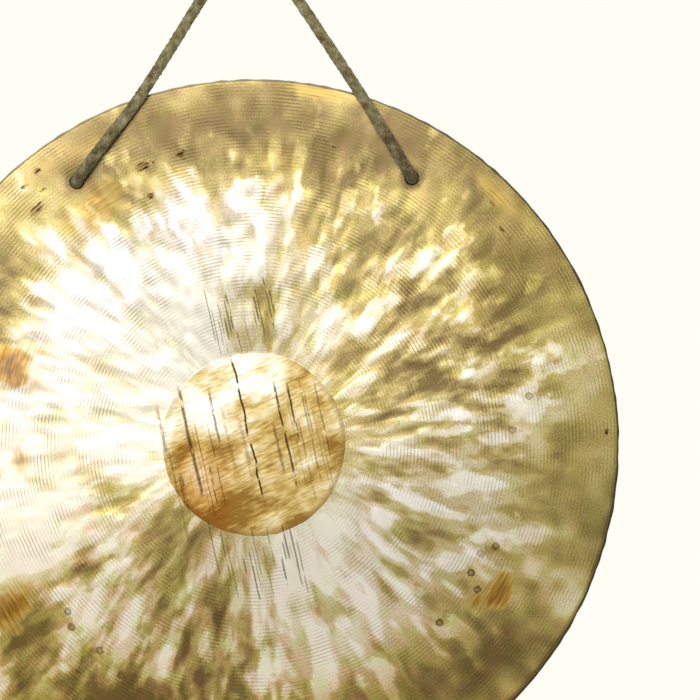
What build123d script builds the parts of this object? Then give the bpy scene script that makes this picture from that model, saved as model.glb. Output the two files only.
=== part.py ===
"""Tam-tam (wind gong) on its cord sling, hung from a swivel eye and an S-hook. Millimetres.

Origin: centre of the ceiling plate's top face. +Z up, the playing face looks along -Y.
"""

import math
import os

from build123d import *

# ---- driving dimensions -------------------------------------------------------------------------
GONG_DIAMETER = 500.0
GONG_CENTRE = Vector(0, 0, -428.0)
PLATE_THICK = 1.6           # turned ring, next to the centre patch
RIM_THICK = 1.2
PATCH_RADIUS = 63.0         # centre left as forged, not turned
PATCH_STEP = 0.15           # how far the patch stands proud of the turned ring, each side
RIM_ROLL_WIDTH = 3.0        # the edge is dressed back over this width
RIM_ROLL_DEPTH = 0.5

CORD_DIAMETER = 8.0
HOLE_DIAMETER = 10.0
LEFT_HOLE_X = -119.1
RIGHT_HOLE_X = 110.2
HOLE_Z = -246.9
DRILL_LENGTH = 6.0          # well through the plate
SOCKET_CLEARANCE = 0.1      # between the cord's end in the hole and the knot behind it

KNOT_ACROSS = 25.0
KNOT_DEEP = 20.0
KNOT_Y = 11.0               # knot's middle, behind the plate
TAIL_LENGTH = 34.0          # of the cord's end, below the knot's middle
TAIL_ASIDE = 8.0            # the end leaves the knot's last turn, on the outer side
TAIL_Y = 7.0
WHIPPING_LENGTH = 9.0
WHIPPING_THICK = 0.6

CEILING_PLATE_DIAMETER = 62.0
CEILING_PLATE_THICK = 8.0
CEILING_PLATE_FILLET = 3.0
SCREW_CIRCLE = 44.0
SCREW_HOLE_RADIUS = 2.3
SCREW_HEAD_RADIUS = 4.6
SCREW_COUNT = 3
POCKET_RADIUS = 8.6         # holds the nut above the plate's web
WEB_THICK = 2.5

SHANK_RADIUS = 4.0
SHANK_TOP_Z = -1.2
SWIVEL_CLEARANCE = 0.08
COLLAR_RADIUS = 7.5
COLLAR_HEIGHT = 4.0
COLLAR_CHAMFER = 1.0
COLLAR_GAP = 0.2            # below the ceiling plate
EYE_WIRE_RADIUS = 3.5
EYE_RING_RADIUS = 13.5      # to the middle of the wire
WASHER_THICK = 1.0
WASHER_RADIUS = 8.0
NUT_ACROSS_FLATS = 13.0
NUT_THICK = 3.8

HOOK_WIRE_RADIUS = 3.0
HOOK_TOP_BEND = 11.0        # bend radii, to the middle of the wire
HOOK_LOW_BEND = 12.0
HOOK_BEND_SPACING = 27.9    # between the two bends' centres
HOOK_TIP_ANGLE = 10.0       # how far each tip runs past the half circle
EYE_TO_HOOK_GAP = 0.1

# ---- worked-out places --------------------------------------------------------------------------
GONG_RADIUS = GONG_DIAMETER / 2
CORD_RADIUS = CORD_DIAMETER / 2
COLLAR_TOP_Z = -CEILING_PLATE_THICK - COLLAR_GAP
COLLAR_SINK = 2.0           # how far the ring runs up into the collar
EYE_CENTRE_Z = COLLAR_TOP_Z - COLLAR_HEIGHT - EYE_RING_RADIUS - EYE_WIRE_RADIUS + COLLAR_SINK
EYE_SADDLE_Z = EYE_CENTRE_Z - EYE_RING_RADIUS
HOOK_TOP_SADDLE_Z = EYE_SADDLE_Z + EYE_WIRE_RADIUS + HOOK_WIRE_RADIUS + EYE_TO_HOOK_GAP
HOOK_TOP_CENTRE_Z = HOOK_TOP_SADDLE_Z - HOOK_TOP_BEND
HOOK_LOW_CENTRE_Z = HOOK_TOP_CENTRE_Z - HOOK_BEND_SPACING
HOOK_SADDLE_Z = HOOK_LOW_CENTRE_Z - HOOK_LOW_BEND

# The sling's route, hole to hole: through the left hole, up the face, over the rim, round the
# S-hook's low bend, and down again to the right hole.
CORD_ROUTE = [
    (-119.1, 0.0, -246.9),
    (-119.1, -4.0, -246.9),
    (-117.9, -7.5, -245.3),
    (-115.7, -9.5, -242.6),
    (-110.9, -9.9, -236.4),
    (-101.9, -9.2, -224.4),
    (-88.4, -7.6, -207.4),
    (-73.2, -5.4, -187.9),
    (-4.76, 0.0, -79.05),
    (-0.04, 0.0, -77.38),
    (4.7, 0.0, -79.0),
    (78.3, -5.4, -193.1),
    (87.9, -7.6, -209.2),
    (95.9, -9.2, -222.4),
    (103.3, -9.9, -235.4),
    (107.4, -9.5, -242.2),
    (109.2, -7.5, -245.2),
    (110.2, -4.0, -246.9),
    (110.2, 0.0, -246.9),
]


def arc_radii(route):
    """One radius for each corner: 0.45 of the shorter run, over the tangent of half the turn."""
    points = [Vector(*p) for p in route]
    radii = []
    for before, at, after in zip(points, points[1:], points[2:]):
        turn = (at - before).get_angle(after - at)
        shorter = min((at - before).length, (after - at).length)
        radii.append(0.45 * shorter / math.tan(math.radians(turn / 2)))
    return radii


def wire_solid(path, radius):
    """A round wire or cord of that radius along a path."""
    start = Plane(origin=path @ 0, z_dir=path % 0)
    return sweep(start * Circle(radius), path=path)


def gong_plate():
    """The hammered and turned disc, its edge dressed back, with two cord holes."""
    ring_front = -PLATE_THICK / 2
    patch_front = ring_front - PATCH_STEP
    roll_start = GONG_RADIUS - RIM_ROLL_WIDTH
    rim_front = -RIM_THICK / 2
    roll_bend = (RIM_ROLL_WIDTH**2 + RIM_ROLL_DEPTH**2) / (2 * RIM_ROLL_DEPTH)
    half_angle = math.asin(RIM_ROLL_WIDTH / roll_bend) / 2

    def on_roll(radius, angle):
        return (roll_start + radius * math.sin(angle), rim_front + roll_bend - radius * math.cos(angle))

    outer, inner = roll_bend, roll_bend - RIM_THICK
    lip = 2 * half_angle
    profile = Polyline(
        (roll_start, -rim_front),
        (PATCH_RADIUS + PATCH_STEP, -ring_front),
        (PATCH_RADIUS, -patch_front),
        (0, -patch_front),
        (0, patch_front),
        (PATCH_RADIUS, patch_front),
        (PATCH_RADIUS + PATCH_STEP, ring_front),
        (roll_start, rim_front),
    )
    front_roll = ThreePointArc((roll_start, rim_front), on_roll(outer, half_angle), on_roll(outer, lip))
    edge = Line(on_roll(outer, lip), on_roll(inner, lip))
    back_roll = ThreePointArc(on_roll(inner, lip), on_roll(inner, half_angle), (roll_start, -rim_front))
    disc = revolve(make_face([profile, front_roll, edge, back_roll]), axis=Axis.Y)
    disc = Pos(GONG_CENTRE) * disc
    for x in (LEFT_HOLE_X, RIGHT_HOLE_X):
        disc -= Pos(x, 0, HOLE_Z) * Rot(90, 0, 0) * Cylinder(HOLE_DIAMETER / 2, DRILL_LENGTH)
    return disc


def hanging_cord():
    """The sling between the holes, with a round end in each hole."""
    path = FilletPolyline(*CORD_ROUTE, radius=arc_radii(CORD_ROUTE))
    cord = wire_solid(path, CORD_RADIUS)
    for end in (CORD_ROUTE[0], CORD_ROUTE[-1]):
        cord += Pos(*end) * Sphere(CORD_RADIUS)
    return cord


def at_hole(piece, hole_x):
    """A piece made for a hole at the origin, put at one of the plate's holes, outer side out."""
    if hole_x < 0:
        piece = mirror(piece, about=Plane.YZ)
    return Pos(hole_x, 0, HOLE_Z) * piece


def stopper_knot(hole_x):
    """A knot behind the plate, with the cord's end hanging below it."""
    knot = Pos(0, KNOT_Y, 0) * scale(Sphere(1), by=(KNOT_ACROSS / 2, KNOT_DEEP / 2, KNOT_ACROSS / 2))
    knot += Pos(0, KNOT_Y / 2, 0) * Rot(90, 0, 0) * Cylinder(CORD_RADIUS, KNOT_Y)
    knot += Pos(TAIL_ASIDE, TAIL_Y, -TAIL_LENGTH / 2) * Cylinder(CORD_RADIUS, TAIL_LENGTH)
    knot -= Sphere(CORD_RADIUS + SOCKET_CLEARANCE)
    return at_hole(knot, hole_x)


def tail_whipping(hole_x):
    """The binding round the cord's end."""
    band = Cylinder(CORD_RADIUS + WHIPPING_THICK, WHIPPING_LENGTH) - Cylinder(CORD_RADIUS, WHIPPING_LENGTH)
    return at_hole(Pos(TAIL_ASIDE, TAIL_Y, WHIPPING_LENGTH / 2 - TAIL_LENGTH) * band, hole_x)


def ceiling_plate():
    """Round plate with countersunk screw holes, and a pocket above its web for the swivel's nut."""
    plate = Pos(0, 0, -CEILING_PLATE_THICK / 2) * Cylinder(CEILING_PLATE_DIAMETER / 2, CEILING_PLATE_THICK)
    plate = fillet(plate.edges().group_by(Axis.Z)[0], CEILING_PLATE_FILLET)
    pocket_depth = CEILING_PLATE_THICK - WEB_THICK
    plate -= Pos(0, 0, -pocket_depth / 2) * Cylinder(POCKET_RADIUS, pocket_depth)
    plate -= Pos(0, 0, -CEILING_PLATE_THICK / 2) * Cylinder(SHANK_RADIUS + SWIVEL_CLEARANCE, CEILING_PLATE_THICK)
    sink_depth = SCREW_HEAD_RADIUS - SCREW_HOLE_RADIUS
    for turn in range(SCREW_COUNT):
        at = Rot(0, 0, 90 + turn * 360 / SCREW_COUNT) * Pos(SCREW_CIRCLE / 2, 0, -CEILING_PLATE_THICK)
        plate -= at * Pos(0, 0, CEILING_PLATE_THICK / 2) * Cylinder(SCREW_HOLE_RADIUS, CEILING_PLATE_THICK)
        plate -= at * Pos(0, 0, sink_depth / 2) * Cone(SCREW_HEAD_RADIUS, SCREW_HOLE_RADIUS, sink_depth)
    return plate


def swivel_eye():
    """The ring that the S-hook hangs in, forged in one with its collar and shank."""
    ring = Pos(0, 0, EYE_CENTRE_Z) * Rot(90, 0, 0) * Torus(EYE_RING_RADIUS, EYE_WIRE_RADIUS)
    collar = Pos(0, 0, COLLAR_TOP_Z - COLLAR_HEIGHT / 2) * Cylinder(COLLAR_RADIUS, COLLAR_HEIGHT)
    collar = chamfer(collar.edges().group_by(Axis.Z)[0], COLLAR_CHAMFER)
    shank_length = SHANK_TOP_Z - COLLAR_TOP_Z
    shank = Pos(0, 0, SHANK_TOP_Z - shank_length / 2) * Cylinder(SHANK_RADIUS, shank_length)
    return ring + collar + shank


def thrust_washer():
    """Carries the nut on the ceiling plate's web."""
    middle_z = -(CEILING_PLATE_THICK - WEB_THICK) + WASHER_THICK / 2
    ring = Cylinder(WASHER_RADIUS, WASHER_THICK) - Cylinder(SHANK_RADIUS + SWIVEL_CLEARANCE, WASHER_THICK)
    return Pos(0, 0, middle_z) * ring


def swivel_nut():
    """Thin hexagon nut, locked on the shank in the ceiling plate's pocket."""
    low_z = -(CEILING_PLATE_THICK - WEB_THICK) + WASHER_THICK
    hexagon = RegularPolygon(NUT_ACROSS_FLATS / 2, 6, major_radius=False)
    nut = extrude(hexagon - Circle(SHANK_RADIUS), NUT_THICK)
    return Pos(0, 0, low_z) * nut


def s_hook():
    """Round wire bent in the YZ plane, so that both bends carry across the wire."""
    normal_z = -(HOOK_TOP_BEND + HOOK_LOW_BEND) / HOOK_BEND_SPACING
    spine = math.degrees(math.asin(normal_z))
    top_bend = CenterArc((0, 0), HOOK_TOP_BEND, 180 + HOOK_TIP_ANGLE, spine - 180 - HOOK_TIP_ANGLE)
    low_bend = CenterArc(
        (0, -HOOK_BEND_SPACING), HOOK_LOW_BEND, 180 + spine, 180 + HOOK_TIP_ANGLE - spine
    )
    line = Wire([top_bend, Line(top_bend @ 1, low_bend @ 0), low_bend])
    hook_plane = Plane(origin=(0, 0, HOOK_TOP_CENTRE_Z), x_dir=(0, 1, 0), z_dir=(1, 0, 0))
    path = hook_plane * line
    hook = wire_solid(path, HOOK_WIRE_RADIUS)
    for tip in (path @ 0, path @ 1):
        hook += Pos(tip) * Sphere(HOOK_WIRE_RADIUS)
    return hook


PIECES = {
    "gong_plate": gong_plate(),
    "hanging_cord": hanging_cord(),
    "left_stopper_knot": stopper_knot(LEFT_HOLE_X),
    "right_stopper_knot": stopper_knot(RIGHT_HOLE_X),
    "left_tail_whipping": tail_whipping(LEFT_HOLE_X),
    "right_tail_whipping": tail_whipping(RIGHT_HOLE_X),
    "s_hook": s_hook(),
    "swivel_eye": swivel_eye(),
    "thrust_washer": thrust_washer(),
    "swivel_nut": swivel_nut(),
    "ceiling_plate": ceiling_plate(),
}

os.makedirs("parts", exist_ok=True)
for name, piece in PIECES.items():
    export_step(piece, f"parts/{name}.step")

cord_path = FilletPolyline(*CORD_ROUTE, radius=arc_radii(CORD_ROUTE))
print("cord radii, mm:", [round(r, 1) for r in arc_radii(CORD_ROUTE)])
print("cord length, mm:", round(cord_path.length, 1))
print("section times length:", round(cord_path.length * math.pi * CORD_RADIUS**2))
print("cord volume, mm3:", round(PIECES["hanging_cord"].volume))
print("eye saddle z:", EYE_SADDLE_Z, " hook saddle z:", HOOK_SADDLE_Z)
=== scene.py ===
"""Looks of a hammered bronze wind gong on a braided cord sling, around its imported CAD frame. Metres."""

import math
import random

import bmesh
import bpy
import numpy as np
from mathutils import Matrix, Vector


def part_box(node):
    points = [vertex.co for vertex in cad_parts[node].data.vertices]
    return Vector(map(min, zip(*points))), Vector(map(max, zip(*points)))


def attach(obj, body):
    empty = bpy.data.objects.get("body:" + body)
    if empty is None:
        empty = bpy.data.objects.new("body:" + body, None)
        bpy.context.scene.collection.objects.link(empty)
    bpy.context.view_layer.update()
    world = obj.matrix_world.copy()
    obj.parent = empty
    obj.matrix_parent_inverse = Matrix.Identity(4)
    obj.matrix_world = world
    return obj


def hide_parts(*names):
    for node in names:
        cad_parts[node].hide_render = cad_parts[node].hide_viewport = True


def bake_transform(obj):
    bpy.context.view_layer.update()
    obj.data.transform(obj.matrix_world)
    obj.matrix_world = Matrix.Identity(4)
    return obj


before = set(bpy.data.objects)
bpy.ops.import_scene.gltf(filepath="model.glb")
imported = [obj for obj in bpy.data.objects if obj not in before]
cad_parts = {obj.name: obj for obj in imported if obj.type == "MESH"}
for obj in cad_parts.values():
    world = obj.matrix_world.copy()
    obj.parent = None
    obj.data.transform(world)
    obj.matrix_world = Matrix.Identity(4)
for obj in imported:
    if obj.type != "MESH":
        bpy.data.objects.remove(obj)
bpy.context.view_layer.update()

MM = 0.001
PLATE_LOW, PLATE_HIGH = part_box("gong_plate")
GONG_CENTRE = Vector(((PLATE_LOW.x + PLATE_HIGH.x) / 2, 0, (PLATE_LOW.z + PLATE_HIGH.z) / 2))
GONG_RADIUS = (PLATE_HIGH.x - PLATE_LOW.x) / 2
HOLE_HEIGHT = -246.9 * MM       # both cord holes, which the gong tilts about
HOLE_XS = {"left": -119.1 * MM, "right": 110.2 * MM}
HOLE_RADIUS = 5 * MM
CORD_DIAMETER = 8 * MM


def add_object(name, data):
    made = bpy.data.objects.new(name, data)
    bpy.context.collection.objects.link(made)
    return made


# ---- camera ----
VIEW_WIDTH = 0.4795             # what the frame spans at the gong's face
VIEW_DISTANCE = 1.8
SENSOR_WIDTH = 36
CAMERA_OFFSET = Vector((0.0665, 0, 0.0638))     # from the gong's centre
CAMERA_ROLL = math.radians(0.66)


def make_camera():
    data = bpy.data.cameras.new("camera")
    data.sensor_width = SENSOR_WIDTH
    data.lens = SENSOR_WIDTH * VIEW_DISTANCE / VIEW_WIDTH
    camera = add_object("camera", data)
    camera.location = GONG_CENTRE + CAMERA_OFFSET - Vector((0, VIEW_DISTANCE, 0))
    level = Matrix.Rotation(math.pi / 2, 3, "X")
    camera.rotation_euler = (Matrix.Rotation(CAMERA_ROLL, 3, "Y") @ level).to_euler()
    bpy.context.scene.camera = camera


# ---- meshes ----
def mesh_object(name, points, faces):
    mesh = bpy.data.meshes.new(name)
    mesh.from_pydata([tuple(p) for p in points], [], faces)
    mesh.validate()
    mesh.update()
    mesh.polygons.foreach_set("use_smooth", [True] * len(mesh.polygons))
    return add_object(name, mesh)


def store(mesh, name, values):
    """Gives each vertex a number that the material reads."""
    layer = mesh.attributes.new(name, "FLOAT", "POINT")
    layer.data.foreach_set("value", np.asarray(values, dtype=np.float32))


# ---- cord ----
CORD_ROUTE_MM = [
    (-119.1, 0.0, -246.9),
    (-119.1, -4.0, -246.9),
    (-117.9, -7.5, -245.3),
    (-115.7, -9.5, -242.6),
    (-110.9, -9.9, -236.4),
    (-101.9, -9.2, -224.4),
    (-88.4, -7.6, -207.4),
    (-73.2, -5.4, -187.9),
    (-30.3, -2.0, -119.7),
    (-4.76, 0.0, -79.05),
    (-0.04, 0.0, -77.38),
    (4.7, 0.0, -79.0),
    (30.8, -1.8, -119.4),
    (78.3, -5.4, -193.1),
    (87.9, -7.6, -209.2),
    (95.9, -9.2, -222.4),
    (103.3, -9.9, -235.4),
    (107.4, -9.5, -242.2),
    (109.2, -7.5, -245.2),
    (110.2, -4.0, -246.9),
    (110.2, 0.0, -246.9),
]


def nurbs_line(name, points_mm):
    """The points of a smooth NURBS line through a route."""
    curve = bpy.data.curves.new(name, "CURVE")
    curve.dimensions = "3D"
    spline = curve.splines.new("NURBS")
    spline.points.add(len(points_mm) - 1)
    for point, place in zip(spline.points, points_mm):
        point.co = (*(Vector(place) * MM), 1)
    spline.order_u = 3
    spline.use_endpoint_u = True
    spline.resolution_u = 24
    carrier = add_object(name, curve)
    mesh = bpy.data.meshes.new_from_object(carrier)
    line = [v.co.copy() for v in mesh.vertices]
    bpy.data.objects.remove(carrier)
    bpy.data.meshes.remove(mesh)
    return line


def even_line(line, step):
    """The same line with its points evenly spaced, and how far along it each point is."""
    points = np.array([tuple(p) for p in line])
    lengths = np.concatenate([[0], np.cumsum(np.linalg.norm(np.diff(points, axis=0), axis=1))])
    count = max(2, int(round(lengths[-1] / step)) + 1)
    at = np.linspace(0, lengths[-1], count)
    return np.stack([np.interp(at, lengths, points[:, k]) for k in range(3)], axis=1), at


def unit(vectors):
    return vectors / np.linalg.norm(vectors, axis=1)[:, None]


def carried_frames(points):
    """Side and up vectors along a line, carried without twist."""
    tangents = unit(np.gradient(points, axis=0))
    helper = np.array([0.0, 1.0, 0.0]) if abs(tangents[0][1]) < 0.8 else np.array([1.0, 0.0, 0.0])
    side = np.cross(tangents[0], helper)
    sides = []
    for tangent in tangents:
        side = side - tangent * np.dot(side, tangent)
        side /= np.linalg.norm(side)
        sides.append(side.copy())
    sides = np.array(sides)
    return sides, np.cross(tangents, sides)


def tube_faces(rings, around, start):
    """The four-sided faces between rings of points, from the first ring's first point on."""
    faces = []
    for ring in range(rings - 1):
        for k in range(around):
            a = start + ring * around + k
            b = start + ring * around + (k + 1) % around
            faces.append((a, b, b + around, a + around))
    return faces


def add_tube(points, faces, path, across, out, half_wide, half_thick, around):
    """Adds a closed tube along a path, with an oval section that lies along two directions."""
    start = len(points)
    ring = []
    for k in range(around):
        turn = 2 * math.pi * k / around
        ring.append(path + across * (half_wide * math.cos(turn)) + out * (half_thick * math.sin(turn)))
    points.extend(np.stack(ring, axis=1).reshape(-1, 3))
    faces.extend(tube_faces(len(path), around, start))
    faces.append(tuple(range(start, start + around))[::-1])
    faces.append(tuple(range(len(points) - around, len(points))))


BRAID_PITCH = 27 * MM
BRAID_YARNS = 8                 # in each direction
BRAID_STEP = 0.62 * MM          # between a yarn's rings of points
BRAID_RIPPLE = 0.32 * MM
YARN_HALF_WIDTH = 1.22 * MM
YARN_HALF_THICK = 0.62 * MM
YARN_UNEVEN = 0.05              # share of its width
YARN_SECTION = 6
LUMP_HEIGHT = 0.3 * MM          # hand braided: each yarn rises and sinks a little
LUMP_SPACING = 5 * MM
CORE_SECTION = 10
CORE_COARSER = 3                # it has a ring for every third ring of the yarns
CORE_GAP = 0.1 * MM
CORE_SHADE = 0.3


def braided_cord(name, line, diameter, seed=1):
    """A round braid of flat yarns, each way over and under the other, on a solid core."""
    centre, at = even_line(line, BRAID_STEP)
    sides, ups = carried_frames(centre)
    rng = random.Random(seed)
    middle = diameter / 2 - YARN_HALF_THICK - BRAID_RIPPLE
    phase = 2 * math.pi * at / BRAID_PITCH
    points, faces, shade = [], [], []
    for way in (1, -1):
        for yarn in range(BRAID_YARNS):
            angle = 2 * math.pi * yarn / BRAID_YARNS + way * phase
            heights = [rng.uniform(-1, 1) for _ in range(int(at[-1] / LUMP_SPACING) + 2)]
            lump = LUMP_HEIGHT * np.interp(at / LUMP_SPACING, range(len(heights)), heights)
            lift = way * BRAID_RIPPLE * np.cos(BRAID_YARNS * phase) + lump
            half_width = YARN_HALF_WIDTH * (1 + YARN_UNEVEN * rng.uniform(-1, 1))
            out = sides * np.cos(angle)[:, None] + ups * np.sin(angle)[:, None]
            path = centre + out * (middle + lift)[:, None]
            across = unit(np.cross(unit(np.gradient(path, axis=0)), out))
            add_tube(points, faces, path, across, out, half_width, YARN_HALF_THICK, YARN_SECTION)
            shade += [rng.random()] * (len(centre) * YARN_SECTION)
    core = centre[::CORE_COARSER]
    if not np.allclose(core[-1], centre[-1]):
        core = np.vstack([core, centre[-1]])
    sides, ups = carried_frames(core)
    radius = middle - CORE_GAP
    add_tube(points, faces, core, sides, ups, radius, radius, CORE_SECTION)
    shade += [CORE_SHADE] * (len(core) * CORE_SECTION)
    piece = mesh_object(name, points, faces)
    store(piece.data, "yarn", shade)
    return piece


KNOT_CORD_DIAMETER = 7.4 * MM   # pulled tight, it is a little thinner there
KNOT_Y_MM = 9.9                 # the knot bears on the plate's back
KNOT_RING_MM = 5.9
KNOT_WAVE_MM = 3.1
KNOT_DEPTH_MM = 4.3
KNOT_OPEN = 0.35                # radians of the turn left open for the cord to come in and go out
KNOT_POINTS = 26
KNOT_SEED = 2
# from the hole, with x away from the gong's middle
WAY_IN_MM = [(0, 0, 0), (0, 2.6, 0), (2.6, 4.2, -1.4)]
TAIL_MM = [
    (9.0, 13.2, 1.0),
    (9.6, 12.0, -6.0),
    (9.2, 9.8, -13.0),
    (8.4, 8.2, -20.0),
    (8.0, 7.2, -27.0),
    (8.0, 7.0, -34.0),
]


def away_from_middle(side):
    return -1 if side == "left" else 1


def knot_route(side):
    """An overhand knot behind a hole: in from the hole, once through itself, and down into the cord's end."""
    turns = []
    for k in range(KNOT_POINTS):
        t = 2 * math.pi - KNOT_OPEN - (2 * math.pi - 2 * KNOT_OPEN) * k / (KNOT_POINTS - 1)
        out = KNOT_RING_MM + KNOT_WAVE_MM * math.cos(3 * t)
        y = KNOT_Y_MM + KNOT_DEPTH_MM * math.sin(3 * t)
        turns.append((out * math.cos(2 * t), y, out * math.sin(2 * t)))
    away = away_from_middle(side)
    hole = Vector((HOLE_XS[side], 0, HOLE_HEIGHT)) / MM
    return [hole + Vector((away * x, y, z)) for x, y, z in [*WAY_IN_MM, *turns, *TAIL_MM]]


TWINE_RADIUS = 0.4 * MM
TWINE_SEAT = 0.7 * TWINE_RADIUS     # its middle from the cord's surface: it sinks in a little
TWINE_PITCH = 1.92 * TWINE_RADIUS   # the turns press on each other
TWINE_STEP = 0.6 * MM
TWINE_UNEVEN_MM = 0.05
PLY_TWIST = 2.6 * MM
PLY_OFFSET = 0.42 * TWINE_RADIUS
PLY_RADIUS = 0.62 * TWINE_RADIUS
PLY_SECTION = 8
WHIPPING_TURNS = 11
WHIPPING_TOP_MM = -24.8             # from the hole
WHIPPING_SEEDS = {"left": 5, "right": 6}
TURN_SEGMENTS = 36


def whipping(side):
    """Two-ply twine bound round the cord's end."""
    x_mm, y_mm, _ = TAIL_MM[-1]
    x = HOLE_XS[side] + away_from_middle(side) * x_mm * MM
    top = Vector((x, y_mm * MM, HOLE_HEIGHT + WHIPPING_TOP_MM * MM))
    rng = random.Random(WHIPPING_SEEDS[side])
    lumps = [rng.uniform(-TWINE_UNEVEN_MM, TWINE_UNEVEN_MM) * MM for _ in range(WHIPPING_TURNS + 2)]
    line = []
    for k in range(WHIPPING_TURNS * TURN_SEGMENTS + 1):
        turn = k / TURN_SEGMENTS
        lump = lumps[int(turn)] * (1 - turn % 1) + lumps[int(turn) + 1] * (turn % 1)
        out = KNOT_CORD_DIAMETER / 2 + TWINE_SEAT + lump
        angle = 2 * math.pi * turn
        line.append(top + Vector((out * math.cos(angle), out * math.sin(angle), -turn * TWINE_PITCH)))
    centre, at = even_line(line, TWINE_STEP)
    sides, ups = carried_frames(centre)
    points, faces = [], []
    for half_turn in (0, math.pi):
        twist = 2 * math.pi * at / PLY_TWIST + half_turn
        aside = sides * np.cos(twist)[:, None] + ups * np.sin(twist)[:, None]
        add_tube(points, faces, centre + aside * PLY_OFFSET, sides, ups, PLY_RADIUS, PLY_RADIUS, PLY_SECTION)
    return mesh_object(side + "_twine", points, faces)


# ---- material helper ----
class Shader:
    """Adds the nodes of one material, each call giving the socket that carries its result."""

    def __init__(self, name):
        self.material = bpy.data.materials.new(name)
        self.material.use_nodes = True
        self.tree = self.material.node_tree
        self.tree.nodes.clear()
        self.output = self.node("ShaderNodeOutputMaterial")

    def put(self, socket, value):
        if isinstance(value, bpy.types.NodeSocket):
            self.tree.links.new(value, socket)
        elif value is not None:
            socket.default_value = (*value, 1) if socket.type == "RGBA" else value

    def node(self, kind, *values, **settings):
        """A new node with its settings, and with values for its inputs in their order."""
        made = self.tree.nodes.new(kind)
        for key, setting in settings.items():
            setattr(made, key, setting)
        for socket, value in zip(made.inputs, values):
            self.put(socket, value)
        return made

    def math(self, operation, a, b=None, clamp=False):
        return self.node("ShaderNodeMath", a, b, operation=operation, use_clamp=clamp).outputs[0]

    def add(self, *values):
        total = values[0]
        for value in values[1:]:
            total = self.math("ADD", total, value)
        return total

    def times(self, *values):
        total = values[0]
        for value in values[1:]:
            total = self.math("MULTIPLY", total, value)
        return total

    def minus(self, a, b, clamp=False):
        return self.math("SUBTRACT", a, b, clamp=clamp)

    def divided(self, a, b):
        return self.math("DIVIDE", a, b)

    def size(self, value):
        return self.math("ABSOLUTE", value)

    def larger(self, a, b):
        return self.math("MAXIMUM", a, b)

    def vector(self, operation, a, b=None, scale=None):
        made = self.node("ShaderNodeVectorMath", a, b, None, scale, operation=operation)
        return made.outputs["Value" if operation == "LENGTH" else 0]

    def split(self, vector):
        return self.node("ShaderNodeSeparateXYZ", vector).outputs

    def join(self, x=0.0, y=0.0, z=0.0):
        return self.node("ShaderNodeCombineXYZ", x, y, z).outputs[0]

    def noise(self, place, scale, detail=2.0, roughness=0.5, output="Fac"):
        return self.node("ShaderNodeTexNoise", place, None, scale, detail, roughness).outputs[output]

    def random(self, cell, seed):
        place = self.join(cell, seed, 0.0)
        return self.node("ShaderNodeTexWhiteNoise", place, noise_dimensions="2D").outputs["Value"]

    def warped(self, place, size, amount):
        """The place pushed about by up to half that many mm, in waves of that size."""
        waves = self.noise(place, 1 / size, detail=1.0, output="Color")
        push = self.vector("SUBTRACT", waves, (0.5, 0.5, 0.5))
        return self.vector("ADD", place, self.vector("MULTIPLY", push, (amount, 0.0, amount)))

    def step(self, value, low, high, out_low=0.0, out_high=1.0):
        """Goes smoothly from one result to another between a low and a high value."""
        values = (value, low, high, out_low, out_high)
        return self.node("ShaderNodeMapRange", *values, interpolation_type="SMOOTHSTEP").outputs[0]

    def fade(self, value, low, high):
        return self.step(value, low, high, 1.0, 0.0)

    def band(self, value, low, full_from, full_to, high):
        """1 within a stretch of values, fading to 0 on both sides of it."""
        return self.times(self.step(value, low, full_from), self.fade(value, full_to, high))

    def near(self, place, middle, full, none):
        """1 up to one distance from a middle, fading to 0 at another."""
        return self.fade(self.size(self.add(place, -middle)), full, none)

    def mix(self, factor, a, b, blend="MIX"):
        made = self.node("ShaderNodeMix", factor, data_type="RGBA", blend_type=blend)
        self.put(made.inputs[6], a)
        self.put(made.inputs[7], b)
        return made.outputs[2]

    def ramp(self, factor, *stops):
        made = self.node("ShaderNodeValToRGB", factor)
        ramp = made.color_ramp
        while len(ramp.elements) < len(stops):
            ramp.elements.new(0.5)
        for element, (position, colour) in zip(ramp.elements, stops):
            element.position = position
            element.color = (*colour, 1)
        return made.outputs[0]

    def attribute(self, name):
        return self.node("ShaderNodeAttribute", attribute_name=name).outputs["Fac"]

    def object_mm(self, centre=Vector()):
        """Place on the object, in mm from a centre given in metres."""
        place = self.node("ShaderNodeTexCoord").outputs["Object"]
        place = self.vector("SUBTRACT", place, tuple(centre))
        return self.vector("SCALE", place, scale=1000.0)

    def bump(self, height_mm):
        made = self.node("ShaderNodeBump")
        self.put(made.inputs["Distance"], MM)
        self.put(made.inputs["Height"], height_mm)
        return made.outputs[0]

    def finish(self, **inputs):
        made = self.node("ShaderNodeBsdfPrincipled")
        for key, value in inputs.items():
            self.put(made.inputs[key.replace("_", " ")], value)
        self.tree.links.new(made.outputs[0], self.output.inputs["Surface"])
        return self.material


# ---- bronze ----
PATCH_RADIUS_MM = 63.0
RADIUS_MM = GONG_RADIUS / MM
GROOVE_PITCH_MM = 2.4
INNER_ZONE_MM = 128.0           # the scratches lie within it, the punch marks and stains outside
FRONT_SHIFT_MM = 400.0          # shifts the flecks' pattern, so that front and back differ

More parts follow.
